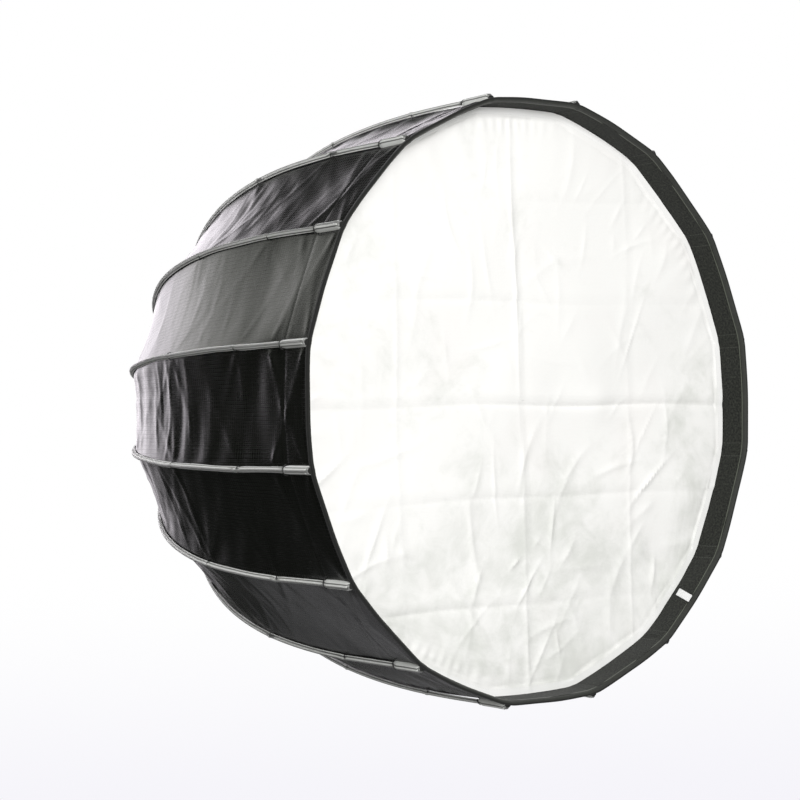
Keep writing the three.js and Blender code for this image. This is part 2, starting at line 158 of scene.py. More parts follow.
# ---- Shader maths -----------------------------------------------------------------------------------
class Wire:
    """A socket in a material. Arithmetic on it adds Math nodes to that material."""

    def __init__(self, tree, socket=None):
        self.tree = tree
        self.socket = socket

    def node(self, kind, settings=(), inputs=(), out=0):
        made = self.tree.nodes.new("ShaderNode" + kind)
        for name, value in dict(settings).items():
            setattr(made, name, value)
        for name, value in dict(inputs).items():
            if isinstance(value, Wire):
                self.tree.links.new(value.socket, made.inputs[name])
            else:
                made.inputs[name].default_value = value
        return Wire(self.tree, made.outputs[out])

    def maths(self, operation, *others):
        return self.node("Math", {"operation": operation}, dict(enumerate((self, *others))))

    def __add__(self, other):
        return self.maths("ADD", other)

    __radd__ = __add__

    def __mul__(self, other):
        return self.maths("MULTIPLY", other)

    __rmul__ = __mul__

    def __sub__(self, other):
        return self.maths("SUBTRACT", other)

    def __rsub__(self, other):
        return self.node("Math", {"operation": "SUBTRACT"}, {0: other, 1: self})

    def __truediv__(self, other):
        return self.maths("DIVIDE", other)

    def __pow__(self, other):
        return self.maths("POWER", other)

    def __abs__(self):
        return self.maths("ABSOLUTE")

    def sine(self):
        return self.maths("SINE")

    def clamp(self):
        return self.node("Clamp", {}, {"Value": self})

    def smooth(self, low, high):
        """0 below low and 1 above high, with a soft step between."""
        settings = {"interpolation_type": "SMOOTHSTEP"}
        return self.node("MapRange", settings, {"Value": self, "From Min": low, "From Max": high})

    def between(self, low, high, soft):
        return self.smooth(low - soft, low + soft) * (1 - self.smooth(high - soft, high + soft))

    def grid_lines(self, spacing, width):
        """1 on lines a spacing apart, falling to 0 over a width to each side."""
        return (1 - self.maths("PINGPONG", spacing / 2) / width).clamp()

    def colours(self, first, second):
        """A mix from the first colour to the second by this value."""
        return self.node("Mix", {"data_type": "RGBA"}, {0: self, 6: first, 7: second}, out=2)

    def noise(self, scale, detail=2.0, roughness=0.5, distortion=0.0):
        """Noise over a vector."""
        inputs = {"Scale": scale, "Detail": detail, "Roughness": roughness, "Distortion": distortion}
        return self.node("TexNoise", {}, {"Vector": self, **inputs})

    def stretched(self, x, y, z=1.0):
        """A vector scaled along each axis."""
        return self.node("VectorMath", {"operation": "MULTIPLY"}, {0: self, 1: (x, y, z)})

    def part(self, axis):
        return self.node("SeparateXYZ", {}, {0: self}, out=axis)

    def bump(self, strength, distance, under=None):
        """This height as a bump, over another bump if one is given."""
        inputs = {"Height": self, "Strength": strength, "Distance": distance}
        if under is not None:
            inputs["Normal"] = under
        return self.node("Bump", {}, inputs)


def grey(value, warm=0.0):
    """A grey, a little olive where warm is above 0."""
    return (value * (1 - warm), value, value * (1 - 2.5 * warm), 1.0)


def new_finish(name, make, **constants):
    """A material: make(start) gives the wires of its varying sockets, and the rest are plain numbers."""
    finish = bpy.data.materials.new(name)
    finish.use_nodes = True
    tree = finish.node_tree
    shader = tree.nodes["Principled BSDF"]
    for socket, value in constants.items():
        shader.inputs[socket.replace("_", " ")].default_value = value
    for socket, wire in make(Wire(tree)).items():
        tree.links.new(wire.socket, shader.inputs[socket])
    return finish


def sewn_map(start, name):
    return start.node("UVMap", {"uv_map": name})


def rest_place(start):
    return start.node("TexCoord", out="Object")


def stitches(along, across, at, pitch, thread):
    """A mask of a sewn line at a place across, broken into stitches along it."""
    line = (1 - abs(across - at) / thread).clamp()
    return line * along.grid_lines(pitch, pitch * 0.34).smooth(0.1, 0.4)


# ---- Fabric finishes ----------------------------------------------------------------------------------
def ripstop(start):
    cloth, seams = sewn_map(start, "cloth"), sewn_map(start, "seams")
    across, along = cloth.part("X"), cloth.part("Y")
    from_seam, from_rim = seams.part("X"), seams.part("Y")
    threads = across.grid_lines(0.0052, 0.00045).maths("MAXIMUM", along.grid_lines(0.0052, 0.00045))
    patches = cloth.noise(9.0, 3.0, 0.6)
    dust = cloth.noise(420.0, 2.0, 0.7)
    sewn = stitches(along, from_seam, 0.0072, 0.0034, 0.0005)
    rim_sewn = stitches(across, from_rim, TAPE_WIDTH + 0.0005, 0.0034, 0.0006)
    seam_line = (1 - abs(from_rim - TAPE_WIDTH) / 0.0013).clamp()
    base = patches.colours(grey(0.0045, 0.09), grey(0.0080, 0.09))
    base = (threads * 0.35).colours(base, grey(0.018, 0.05))
    base = (dust.smooth(0.62, 0.80) * 0.25).colours(base, grey(0.03, 0.02))
    base = (seam_line * 0.8).colours(base, grey(0.004))
    base = ((sewn + rim_sewn).clamp() * 0.7).colours(base, grey(0.05, 0.03))
    weave = (across * 2600.0).sine() * (along * 2600.0).sine()
    height = threads * 0.5 + weave * 0.12 + (sewn + rim_sewn) * 0.8 - seam_line * 1.2
    crumple = cloth.noise(38.0, 6.0, 0.62, 0.6)
    fine = height.bump(0.11, 0.0004)
    return {
        "Base Color": base,
        "Roughness": 0.23 + patches * 0.07 + threads * 0.05,
        "Normal": crumple.bump(0.11, 0.0022, fine),
    }


def silver_lining(start):
    cloth = sewn_map(start, "cloth")
    crumple = cloth.noise(60.0, 6.0, 0.65, 0.8)
    return {
        "Base Color": crumple.colours(grey(0.55), grey(0.80)),
        "Roughness": 0.26 + crumple * 0.2,
        "Normal": crumple.bump(0.5, 0.0012),
    }


def loop_pile(start):
    """Black loop tape, sewn down along both edges and across at every corner."""
    cloth, seams = sewn_map(start, "cloth"), sewn_map(start, "seams")
    across, along = cloth.part("X"), cloth.part("Y")
    from_seam, from_rim = seams.part("X"), seams.part("Y")
    loops = cloth.noise(900.0, 2.0, 0.6)
    tufts = cloth.noise(330.0, 4.0, 0.7)
    worn = cloth.noise(26.0, 3.0, 0.6)
    sewn = stitches(along, from_seam, 0.0095, 0.0030, 0.0007)
    thread = (sewn + stitches(across, from_rim, TAPE_WIDTH - 0.004, 0.0030, 0.0006) * 0.6).clamp()
    base = (loops * 0.35 + tufts * 0.65).smooth(0.40, 0.62).colours(grey(0.001, 0.10), grey(0.034, 0.10))
    base = (worn.smooth(0.5, 0.75) * 0.3).colours(base, grey(0.022, 0.08))
    base = (thread * 0.85).colours(base, grey(0.11, 0.06))
    height = loops * 0.7 + tufts * 0.8 - thread * 0.8
    return {"Base Color": base, "Roughness": 0.86 + loops * 0.1, "Normal": height.bump(0.75, 0.0008)}


def woven_binding(start):
    """Edge tape: fine ribs across it, and one light sewn line along it."""
    cloth, seams = sewn_map(start, "cloth"), sewn_map(start, "seams")
    across, height_over, from_edge = cloth.part("X"), cloth.part("Y"), seams.part("Y")
    ribs = (across * 4200.0).sine()
    blotch = cloth.noise(120.0, 3.0, 0.6)
    sewn = (1 - abs(from_edge - 0.0046) / 0.0009).clamp()
    base = (blotch * 0.7 + ribs * 0.12 + 0.1).colours(grey(0.018, 0.06), grey(0.042, 0.06))
    base = (sewn * 0.9).colours(base, grey(0.15, 0.10))
    base = height_over.smooth(-0.0022, -0.0006).colours(base, grey(0.008, 0.06))
    height = ribs * 0.4 + blotch * 0.3 - sewn * 0.9
    return {"Base Color": base, "Roughness": 0.62 + blotch * 0.12, "Normal": height.bump(0.5, 0.0004)}


def sleeve_satin(start):
    """Light grey tube tape with a fine twill, duller over the rod: its rolled edges are painted bright, partly
    their own lighter colour and partly a painted highlight, and a painted shade line runs in the groove by each
    hem.
    """
    cloth = sewn_map(start, "cloth")
    across, along = cloth.part("X"), cloth.part("Y")
    side = abs(across)
    twill = ((across + along) * 4600.0).sine()
    soil = cloth.noise(70.0, 4.0, 0.65)
    # Rolled edges and flat hems painted near white: partly the tape's own lighter edge, partly painted
    # highlight.
    ridge = side.between(0.0019, 0.0042, 0.0007)
    hem = side.smooth(0.0056, 0.0063)
    end = 1 - along.smooth(-0.0010, 0.0002)
    base = ((ridge + hem).clamp() * 0.9 + soil * 0.15).colours(grey(0.15, 0.02), grey(0.95, 0.015))
    base = (soil.smooth(0.58, 0.74) * 0.35).colours(base, grey(0.14, 0.03))
    # Painted shade: a dark line in the groove between each rolled edge and its hem.
    groove = (1 - abs(side - 0.0050) / 0.0007).clamp()
    base = (groove * 0.8).colours(base, grey(0.03, 0.03))
    base = end.colours(base, grey(0.010, 0.05))
    height = twill * 0.25 + soil * 0.5 - groove * 0.9
    return {"Base Color": base, "Roughness": 0.29 + soil * 0.2, "Normal": height.bump(0.5, 0.0005)}


def diffuser_cloth(start):
    cloth, seams = sewn_map(start, "cloth"), sewn_map(start, "seams")
    across, up = cloth.part("X"), cloth.part("Y")
    from_edge, along_edge = seams.part("X"), seams.part("Y")
    # Painted shade: cloud and fleck darken the white to grey in mottled patches, and low darkens it more
    # towards the bottom, standing in for the shading of wrinkles and hollows.
    cloud = cloth.noise(5.0, 5.0, 0.62, 0.8)
    fleck = cloth.noise(30.0, 5.0, 0.6, 0.5)
    low = (0.04 - up).smooth(0.0, 0.40)
    shade = (cloud - 0.5) * 2.0 + (fleck - 0.5) * 0.9 + low * 0.50 - 0.06
    base = shade.smooth(-0.05, 0.75).colours((0.92, 0.915, 0.893, 1), (0.715, 0.725, 0.685, 1))
    pink = cloth.noise(7.0, 2.0, 0.5).smooth(0.52, 0.72)
    base = (pink * 0.22).colours(base, (0.90, 0.86, 0.84, 1))
    hem = 1 - from_edge.smooth(0.0085, 0.0097)
    base = (hem * 0.5).colours(base, (0.95, 0.95, 0.94, 1))
    sewn = stitches(along_edge, from_edge, 0.0082, 0.0030, 0.0006)
    base = (sewn * 0.4).colours(base, (0.60, 0.62, 0.58, 1))
    weave = (across * 3300.0).sine() + (up * 3300.0).sine()
    height = weave * 0.10 + fleck * 0.8 + hem * 0.5 - sewn
    return {"Base Color": base, "Roughness": 0.70 + fleck * 0.12, "Normal": height.bump(0.22, 0.0012)}


def plain_label(start):
    at = rest_place(start)
    weave = at.noise(1400.0, 2.0, 0.6)
    return {
        "Base Color": weave.colours(grey(0.82), grey(0.92)),
        "Roughness": 0.55 + weave * 0.15,
        "Normal": weave.bump(0.3, 0.0003),
    }


def webbing(start):
    """Black woven webbing, for the collar and the slit patches."""
    cloth = sewn_map(start, "cloth")
    across, along = cloth.part("X"), cloth.part("Y")
    weave = ((across + along) * 2300.0).sine() * ((across - along) * 2300.0).sine()
    worn = cloth.noise(90.0, 3.0, 0.6)
    base = (weave * 0.3 + worn * 0.5).clamp().colours(grey(0.012), grey(0.045, 0.02))
    return {
        "Base Color": base,
        "Roughness": 0.62 + worn * 0.16,
        "Normal": (weave + worn).bump(0.6, 0.0005),
    }


# ---- Metal and plastic finishes -------------------------------------------------------------------------
def anodised(start):
    """Black satin alloy, rubbed lighter on its edges."""
    at = rest_place(start)
    grain = at.noise(1800.0, 3.0, 0.6)
    rub = at.noise(45.0, 4.0, 0.65)
    edge = start.node("NewGeometry", out="Pointiness").smooth(0.54, 0.60) * rub.smooth(0.45, 0.65)
    base = rub.colours(grey(0.016), grey(0.026))
    base = (edge * 0.35).colours(base, grey(0.20))
    return {
        "Base Color": base,
        "Roughness": 0.38 + rub * 0.16 + grain * 0.05,
        "Normal": grain.bump(0.25, 0.0002),
    }


def turned_alloy(start):
    at = rest_place(start)
    x, z = at.part("X"), at.part("Z")
    radius = (x * x + z * z) ** 0.5
    rings = (radius * 9000.0).sine()
    wear = at.noise(70.0, 4.0, 0.6)
    base = (wear * 0.6 + rings * 0.08 + 0.1).colours(grey(0.44), grey(0.70))
    return {
        "Base Color": base,
        "Roughness": 0.24 + wear * 0.18,
        "Normal": (rings * 0.5 + wear).bump(0.25, 0.0002),
    }


def drawn_steel(start):
    at = rest_place(start)
    streak = at.stretched(1.0, 12.0, 1.0).noise(220.0, 3.0, 0.6)
    tarnish = at.noise(60.0, 3.0, 0.6)
    base = (streak * 0.5 + tarnish * 0.4).colours(grey(0.36), grey(0.60))
    return {"Base Color": base, "Roughness": 0.24 + tarnish * 0.22, "Normal": streak.bump(0.2, 0.0002)}


def satin_rod(start):
    """Satin alloy of the ribs, with long draw marks."""
    at = rest_place(start)
    marks = at.noise(500.0, 4.0, 0.7)
    stain = at.noise(28.0, 3.0, 0.6)
    base = (stain * 0.8 + marks * 0.2).colours(grey(0.42), grey(0.66))
    return {"Base Color": base, "Roughness": 0.30 + stain * 0.2, "Normal": marks.bump(0.18, 0.0002)}


def moulded(dark, light):
    """Moulded plastic with a fine spark-eroded texture."""

    def make(start):
        at = rest_place(start)
        spark = at.noise(2600.0, 2.0, 0.6)
        hand = at.noise(60.0, 3.0, 0.6)
        return {
            "Base Color": (hand * 0.7 + spark * 0.3).colours(dark, light),
            "Roughness": 0.42 + spark * 0.12 + hand * 0.12,
            "Normal": spark.bump(0.35, 0.0002),
        }

    return make


RIPSTOP = new_finish("black_ripstop", ripstop, Specular_IOR_Level=0.36, Sheen_Weight=0.01, Sheen_Roughness=0.4)
LINING = new_finish("silver_lining", silver_lining, Metallic=0.75)
LOOP_PILE = new_finish("loop_pile", loop_pile, Specular_IOR_Level=0.12, Sheen_Weight=0.10, Sheen_Roughness=0.6)
BINDING = new_finish("woven_edge_binding", woven_binding, Specular_IOR_Level=0.3, Sheen_Weight=0.15)
SLEEVE = new_finish(
    "grey_sleeve_satin", sleeve_satin, Specular_IOR_Level=0.6, Sheen_Weight=0.45, Sheen_Roughness=0.35
)
DIFFUSER = new_finish("white_diffuser_cloth", diffuser_cloth, Specular_IOR_Level=0.15, Sheen_Weight=0.05)
LABEL = new_finish("blank_white_tab", plain_label, Specular_IOR_Level=0.2)
WEBBING = new_finish("black_webbing", webbing, Specular_IOR_Level=0.3, Sheen_Weight=0.15)
ANODISED = new_finish("black_anodised_alloy", anodised, Metallic=0.6)
TURNED = new_finish("turned_bright_alloy", turned_alloy, Metallic=1.0)
STEEL = new_finish("drawn_spring_steel", drawn_steel, Metallic=1.0)
ROD = new_finish("satin_rib_alloy", satin_rod, Metallic=1.0)
BLACK_PLASTIC = new_finish("moulded_black", moulded(grey(0.012), grey(0.022)))
RED_PLASTIC = new_finish("moulded_red", moulded((0.30, 0.012, 0.010, 1), (0.42, 0.022, 0.016, 1)))

CAD_FINISH = {
    "mount_ring": TURNED,
    "mount_retainer": STEEL,
    "hub_body": ANODISED,
    "hub_cover": ANODISED,
    "hub_pivot_wire": STEEL,
    "runner_body": ANODISED,
    "runner_cover": ANODISED,
    "runner_pivot_wire": STEEL,
    "release_button": RED_PLASTIC,
    "button_spring": STEEL,
    "lock_screw": BLACK_PLASTIC,
    "rib": ROD,
    "strut": STEEL,
}


def dress_cad():
    for name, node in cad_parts.items():
        finish = CAD_FINISH.get(name) or CAD_FINISH.get(name.rsplit("_", 1)[0])
        if finish is not None:
            node.data.materials.clear()
            node.data.materials.append(finish)


# ---- Mesh code --------------------------------------------------------------------------------------
def new_piece(name, points, faces, finishes, maps=None, picks=None):
    """An object from points, faces, its finishes and its named maps, one pair of metres for every point."""
    mesh = bpy.data.meshes.new(name)
    mesh.from_pydata(np.asarray(points, float).tolist(), [], [list(map(int, face)) for face in faces])
    corners = np.empty(len(mesh.loops), np.int32)
    mesh.loops.foreach_get("vertex_index", corners)
    for label, pairs in (maps or {}).items():
        layer = mesh.uv_layers.new(name=label)
        layer.data.foreach_set("uv", np.asarray(pairs, np.float32)[corners].ravel())
    for finish in finishes:
        mesh.materials.append(finish)
    if picks is not None:
        mesh.polygons.foreach_set("material_index", np.asarray(picks, np.int32))
    mesh.polygons.foreach_set("use_smooth", np.full(len(mesh.polygons), True))
    mesh.update()
    made = bpy.data.objects.new(name, mesh)
    bpy.context.scene.collection.objects.link(made)
    return made


def grid(rows, columns, closed=False, first=0, turned=False):
    """Quads over rows of points, and round each row if it is closed."""
    i, j = np.meshgrid(np.arange(rows - 1), np.arange(columns if closed else columns - 1), indexing="ij")
    nxt = (j + 1) % columns
    quads = np.stack([i * columns + j, i * columns + nxt, (i + 1) * columns + nxt, (i + 1) * columns + j], -1)
    quads = quads.reshape(-1, 4) + first
    return quads[:, ::-1] if turned else quads


def end_caps(rows, columns):
    """The first and the last closed row as faces, each the opposite way round."""
    return [list(range(columns)), list(range(rows * columns - 1, (rows - 1) * columns - 1, -1))]


def cloth_shell(outer, inner):
    """Faces of two grids of points, the outer one first, joined round their edges."""
    rows, columns = outer.shape[:2]
    count = rows * columns
    faces = [grid(rows, columns), grid(rows, columns, first=count, turned=True)]
    at = np.arange(count).reshape(rows, columns)
    edge = np.concatenate([at[0, :-1], at[:-1, -1], at[-1, :0:-1], at[:0:-1, 0]])
    after = np.roll(edge, -1)
    faces.append(np.stack([after, edge, edge + count, after + count], -1))
    return np.concatenate([outer.reshape(-1, 3), inner.reshape(-1, 3)]), np.concatenate(faces)


def swept(centres, sides, ups, profile):
    """Points and faces of a closed (across, up) profile swept along centres; profile may vary by row."""
    profile = np.broadcast_to(profile, (len(centres), *np.shape(profile)[-2:]))
    points = centres[:, None] + profile[..., :1] * sides[:, None] + profile[..., 1:] * ups[:, None]
    rows, columns = points.shape[:2]
    faces = grid(rows, columns, closed=True).tolist()
    return points.reshape(-1, 3), faces + end_caps(rows, columns)


def facing_out(made):
    """Turns a closed mesh's faces outwards."""
    work = bmesh.new()
    work.from_mesh(made.data)
    bmesh.ops.recalc_face_normals(work, faces=work.faces)
    work.to_mesh(made.data)
    work.free()
    made.data.set_sharp_from_angle(angle=math.radians(50))
    return made


# ---- Canopy -------------------------------------------------------------------------------------------
def cloth_offset(run):
    """How far outside the rib's centre line the cloth lies."""
    radius = on_rib(run)[..., 0]
    return CLOTH_OUTSIDE_FOOT + (CLOTH_INSIDE_ROD - CLOTH_OUTSIDE_FOOT) * ease(SLIT_FROM, SLIT_TO, radius)


def rim_shape(k, u, width, from_rim):
    """How far outside the straight chord the hem stands: bowed between ribs and rounded at them."""
    bow = (0.0030 + 0.0008 * math.sin(2.4 * k + 1.0)) * 4 * u * (1 - u)
    reach = 0.012
    near = np.maximum(reach - np.minimum(u, 1 - u) * width, 0)
    corner = math.tan(PITCH / 2) * near**2 / (2 * reach)
    return (bow - corner) * (1 - ease(0.050, 0.130, from_rim))


def across_gore(line, k, u):
    """Points on straight lines from rib k's (radius, depth) line to the next rib's."""
    return place(line, rib_angle(k)) * (1 - u)[..., None] + place(line, rib_angle(k + 1)) * u[..., None]


def shaped(point, k, u, run):
    """Points of gore k moved to the hem's bowed shape."""
    width = 2 * on_rib(run)[..., 0] * math.sin(PITCH / 2)
    way = place(outward(run), rib_angle(k) + u * PITCH)
    return point + way * rim_shape(k, u, width, LENGTH - run)[..., None]


def gore_width(run):
    line = on_rib(run) + outward(run) * cloth_offset(run)[..., None]
    return 2 * line[..., 0] * math.sin(PITCH / 2)


def crease(distance, width):
    """A fold with a sharp top and soft flanks."""
    return np.exp(-np.abs(distance / width) ** 1.5)


TAUT = {12: 0.30, 13: 0.7, 10: 0.8, 9: 0.8, 4: 0.7, 8: 0.6}  # gores stretched smoother than the rest


def gore_folds(k, x, y, width):
    """How far the cloth of gore k stands out, x across from rib k, y back from the rim, in metres."""
    draw = np.random.default_rng(700 + k)
    lift = np.zeros_like(x)
    middle = x / width
    # Long folds from rib to rib, drawn tight across the gore.
    for _ in range(26):
        at = draw.uniform(0.085, 0.66)
        slope, bow = draw.normal(0, 0.10), draw.normal(0, 0.012)
        reach = draw.uniform(0.25, 0.6)
        heart = draw.uniform(0.25, 0.75)
        deep = draw.uniform(0.30, 1.05) * 1e-3 * draw.choice([1, 1, -0.6])
        deep *= 0.45 + 0.55 * float(ease(0.12, 0.30, at))
        broad = draw.uniform(0.0026, 0.0055)
        path = at + slope * (x - width / 2) + bow * (4 * middle * (1 - middle))
        lift += deep * crease(y - path, broad) * np.exp(-(((middle - heart) / reach) ** 4))
    # Fans of folds from the tacks on either rib.
    for tack, pull in ((TACKS[0], 0.7), (TACKS[1], 1.0), (0.50, 1.0)):
        for side in (0, 1):
            reach_x = x if side == 0 else width - x
            for _ in range(4):
                lean = draw.uniform(-1.3, 1.3)
                away = np.maximum(reach_x, 1e-4)
                path = tack + lean * away * 0.8
                broad = 0.0045 + 0.050 * away
                deep = draw.uniform(0.5, 1.5) * 1e-3 * pull
                lift += deep * crease(y - path, broad) * ease(0, 0.018, away) * np.exp(-away / 0.075)
    # Puckers between the outer seam and the rim.
    for side in (0, 1):
        reach_x = x if side == 0 else width - x
        for corner in (0.004, TAPE_WIDTH + 0.03):
            for _ in range(3):
                lean = draw.uniform(0.25, 0.9) * (1 if corner < 0.02 else -1)
                path = corner + lean * reach_x * 0.75
                deep = draw.uniform(0.7, 1.6) * 1e-3
                lift += deep * crease(y - path, 0.0042 + 0.04 * reach_x) * ease(0, 0.02, reach_x) * np.exp(
                    -reach_x / 0.06
                )
    stitch_pull = np.sin(x * draw.uniform(560, 680) + draw.uniform(0, 6)) + 0.6 * np.sin(x * 1130)
    lift += 0.00022 * stitch_pull * crease(y - TAPE_WIDTH, 0.010)
    lift -= 0.0011 * crease(y - TAPE_WIDTH, 0.0022)
    # The gather towards the rear opening.
    collar = LENGTH - y
    turns = draw.uniform(2.5, 3.5)
    lift += 0.0017 * np.sin(2 * math.pi * (turns * middle + draw.uniform(0, 1))) * np.exp(-collar / 0.10)
    lift += 0.0009 * np.sin(2 * math.pi * (6.2 * middle + draw.uniform(0, 1))) * np.exp(-collar / 0.17)
    # A slow ripple all over.
    for _ in range(5):
        fx, fy = draw.normal(0, 9), draw.normal(0, 14)
        lift += 0.00030 * np.sin(2 * math.pi * (fx * x + fy * y + draw.uniform(0, 1)))
    held = ease(0, 0.010, x) * ease(0, 0.010, width - x) * ease(0.0, 0.012, y)
    return lift * held * TAUT.get(k, 1.0)


def gore_points(k, across, runs):
    """x, y, z of gore k at shares across it, from rib k to the next, and at lengths from the collar."""
    u, run = np.meshgrid(across, runs)
    line = on_rib(run) + outward(run) * cloth_offset(run)[..., None]
    point = shaped(across_gore(line, k, u), k, u, run)
    out = outward(run)
    way = place(out, gore_angle(k))
    width = 2 * line[..., 0] * math.sin(PITCH / 2)
    from_rim = LENGTH - run
    hollow = 0.0052 * (width / 0.15) * ease(0, 0.16, from_rim) * 4 * u * (1 - u)
    stand = gore_folds(k, u * width, from_rim, width) - hollow
    return point + way * stand[..., None], u, width, from_rim


def gore_ends(k, inset=0.006):
    """Two points on the rim's chord of gore k, an inset in from rib k and from the next rib."""
    first, last = place(RIM, rib_angle(k)), place(RIM, rib_angle(k + 1))
    way = (last - first) / np.linalg.norm(last - first)
    return first + way * inset, last - way * inset


def blend_gore(made, k):
    first, last = gore_ends(k)
    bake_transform(made)


def gore_maps(u, width, from_rim, layers=2):
    cloth = np.stack([(u - 0.5) * width, from_rim], -1).reshape(-1, 2)
    seams = np.stack([np.minimum(u, 1 - u) * width, from_rim], -1).reshape(-1, 2)
    return {"cloth": np.tile(cloth, (layers, 1)), "seams": np.tile(seams, (layers, 1))}


ACROSS = np.linspace(0, 1, 41)
RUNS = LENGTH - np.concatenate([np.linspace(-HEM_REACH, 0.06, 25), np.linspace(0.064, LENGTH, 172)])[::-1]


def canopy_gore(k):
    outer, u, width, from_rim = gore_points(k, ACROSS, RUNS)
    way = place(outward(RUNS), gore_angle(k))[:, None]
    inner = outer - way * CLOTH_THICKNESS
    points, faces = cloth_shell(outer, inner)
    count = (len(RUNS) - 1) * (len(ACROSS) - 1)
    picks = np.zeros(len(faces), int)
    picks[count : 2 * count] = 1
    maps = gore_maps(u, width, from_rim)
    made = new_piece(numbered("canopy_gore", k), points, faces, [RIPSTOP, LINING], maps, picks)
    facing_out(made)
    blend_gore(made, k)
    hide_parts(numbered("canopy_panel", k))
    return made


def rim_binding(k):
    """Woven tape folded over the canopy's front edge."""
    across = np.linspace(0, 1, 41)
    section = [(-0.0036, 0.0007), (-0.0034, 0.0012), (-0.0024, 0.0013), (-0.0012, 0.0013), (0.0003, 0.0012)]
    section += [(0.0014, 0.0008), (0.0018, 0.0), (0.0016, -0.0020), (0.0004, -0.0036), (-0.002, -0.0048)]
    section += [(-0.0046, -0.0053), (-0.0056, -0.0052), (-0.0058, -0.0044)]
    section += [(-0.0056, -0.0038), (-0.003, -0.0030), (-0.0006, -0.0016), (-0.0004, 0.0), (-0.002, 0.0005)]
    section = np.array(section)
    run = LENGTH + HEM_REACH + section[:, 0]
    line = on_rib(run) + outward(run) * (CLOTH_INSIDE_ROD + 0.0008 + section[:, 1])[:, None]
    wave = np.random.default_rng(40 + k).uniform(0, 6)
    u, runs = np.meshgrid(across, run, indexing="ij")
    flutter = 0.0004 * np.sin(9 * u + wave) * 4 * u * (1 - u)
    lines = line[None] + outward(runs) * flutter[..., None]
    points = shaped(across_gore(lines, k, u), k, u, runs)
    faces = grid(len(across), len(section), closed=True).tolist() + end_caps(len(across), len(section))
    width = 2 * RIM[0] * math.sin(PITCH / 2)
    edge, height = (np.broadcast_to(part, u.shape) for part in (-section[:, 0], section[:, 1]))
    maps = {
        "cloth": np.stack([(u - 0.5) * width, height], -1).reshape(-1, 2),
        "seams": np.stack([u, edge], -1).reshape(-1, 2),
    }
    made = new_piece(numbered("rim_binding", k), points.reshape(-1, 3), faces, [BINDING], maps)
    facing_out(made)
    blend_gore(made, k)
    return made


def tape_band(k):
    """Loop tape on the inside of the rim."""
    across = np.linspace(0, 1, 41)
    runs = LENGTH + HEM_REACH - np.linspace(0.0030, TAPE_WIDTH + HEM_REACH, 24)
    u, run = np.meshgrid(across, runs)
    draw = np.random.default_rng(90 + k)
    ripple = 0.00035 * np.sin(11 * u + draw.uniform(0, 6)) * np.sin(90 * run + draw.uniform(0, 6))
    layers = []
    for depth in (0.0042, 0.0030):
        line = on_rib(run) + outward(run) * (CLOTH_INSIDE_ROD - depth + ripple)[..., None]
        layers.append(shaped(across_gore(line, k, u), k, u, run))
    points, faces = cloth_shell(layers[0], layers[1])
    width = 2 * on_rib(run)[..., 0] * math.sin(PITCH / 2)
    made = new_piece(numbered("tape_band", k), points, faces, [LOOP_PILE], gore_maps(u, width, LENGTH - run))
    facing_out(made)
    blend_gore(made, k)
    return made


def blank_tab():
    """The small plain white tab sewn over the tape band."""
    k = TAB_GORE
    aside, w = np.meshgrid(np.linspace(0, 1, 7), np.linspace(0, 1, 14))
    u = 0.430 + 0.075 * aside + 0.066 * w
    run = LENGTH - 0.0295 + 0.0285 * w
    layers = []
    for depth in (0.0049, 0.0043):
        line = on_rib(run) + outward(run) * (CLOTH_INSIDE_ROD - depth - 0.0004 * np.sin(math.pi * w))[..., None]
        layers.append(shaped(across_gore(line, k, u), k, u, run))
    points, faces = cloth_shell(layers[0], layers[1])
    made = facing_out(new_piece("sewn_tab", points, faces, [LABEL]))
    blend_gore(made, k)
    return made


def collar_binding(k):
    """Webbing folded round the canopy's rear edge."""
    across = np.linspace(0, 1, 21)
    section = np.array(
        [(-0.0015, 0), (-0.001, 0.0016), (0.003, 0.0022), (0.011, 0.0021), (0.0125, 0.0008), (0.0125, -0.0012)]
        + [(0.011, -0.0022), (0.003, -0.0022), (-0.001, -0.0018)]
    )
    base = np.clip(section[:, 0], 0, None)
    line = on_rib(base) + outward(base) * (cloth_offset(base) + section[:, 1])[:, None]
    line -= FOOT_WAY * np.clip(-section[:, 0], 0, None)[:, None]
    rows = [place(line, rib_angle(k)) * (1 - u) + place(line, rib_angle(k + 1)) * u for u in across]
    points = np.array(rows)
    faces = grid(len(across), len(section), closed=True).tolist() + end_caps(len(across), len(section))
    u = np.repeat(across, len(section)).reshape(len(across), -1)
    maps = gore_maps(u, 0.039, np.broadcast_to(section[:, 0], u.shape), layers=1)
    made = new_piece(numbered("collar_binding", k), points.reshape(-1, 3), faces, [WEBBING], maps)
    facing_out(made)
    blend_gore(made, k)
    return made


# ---- Sleeves ------------------------------------------------------------------------------------------
def rib_frame(k, runs):
    """Centres, side directions and outward directions along rib k."""
    angle = rib_angle(k)
    centres = place(on_rib(runs), angle)
    ups = place(outward(runs), angle)
    side = np.array([math.cos(angle), 0, -math.sin(angle)])
    return centres, np.broadcast_to(side, centres.shape), ups


def tube_tape(half_width, bulge, roll, base, thickness=0.0005, corners=21):
    """A closed profile of thin tape laid over the rod, with a rolled edge on either side."""
    a = np.linspace(-half_width, half_width, corners)
    over_rod = bulge * np.sqrt(np.clip(1 - (a / 0.0031) ** 2, 0, 1))
    rolled = roll * crease(np.abs(a) - (half_width - 0.0009), 0.0007)
    top = base + 0.0004 + np.maximum(over_rod, rolled)
    outer = np.stack([a, top], -1)
    inner = np.stack([a[::-1], (top - thickness)[::-1]], -1)
    return np.concatenate([outer, inner])


def wrapped(profile):
    """Lengths over the tape from its middle, for profiles whose first half is the outside."""
    half = profile.shape[1] // 2
    steps = np.linalg.norm(np.diff(profile[:, :half], axis=1), axis=-1)
    over = np.concatenate([np.zeros((len(profile), 1)), np.cumsum(steps, axis=1)], axis=1)
    over -= over[:, half // 2 : half // 2 + 1]
    return np.concatenate([over, over[:, ::-1]], axis=1)


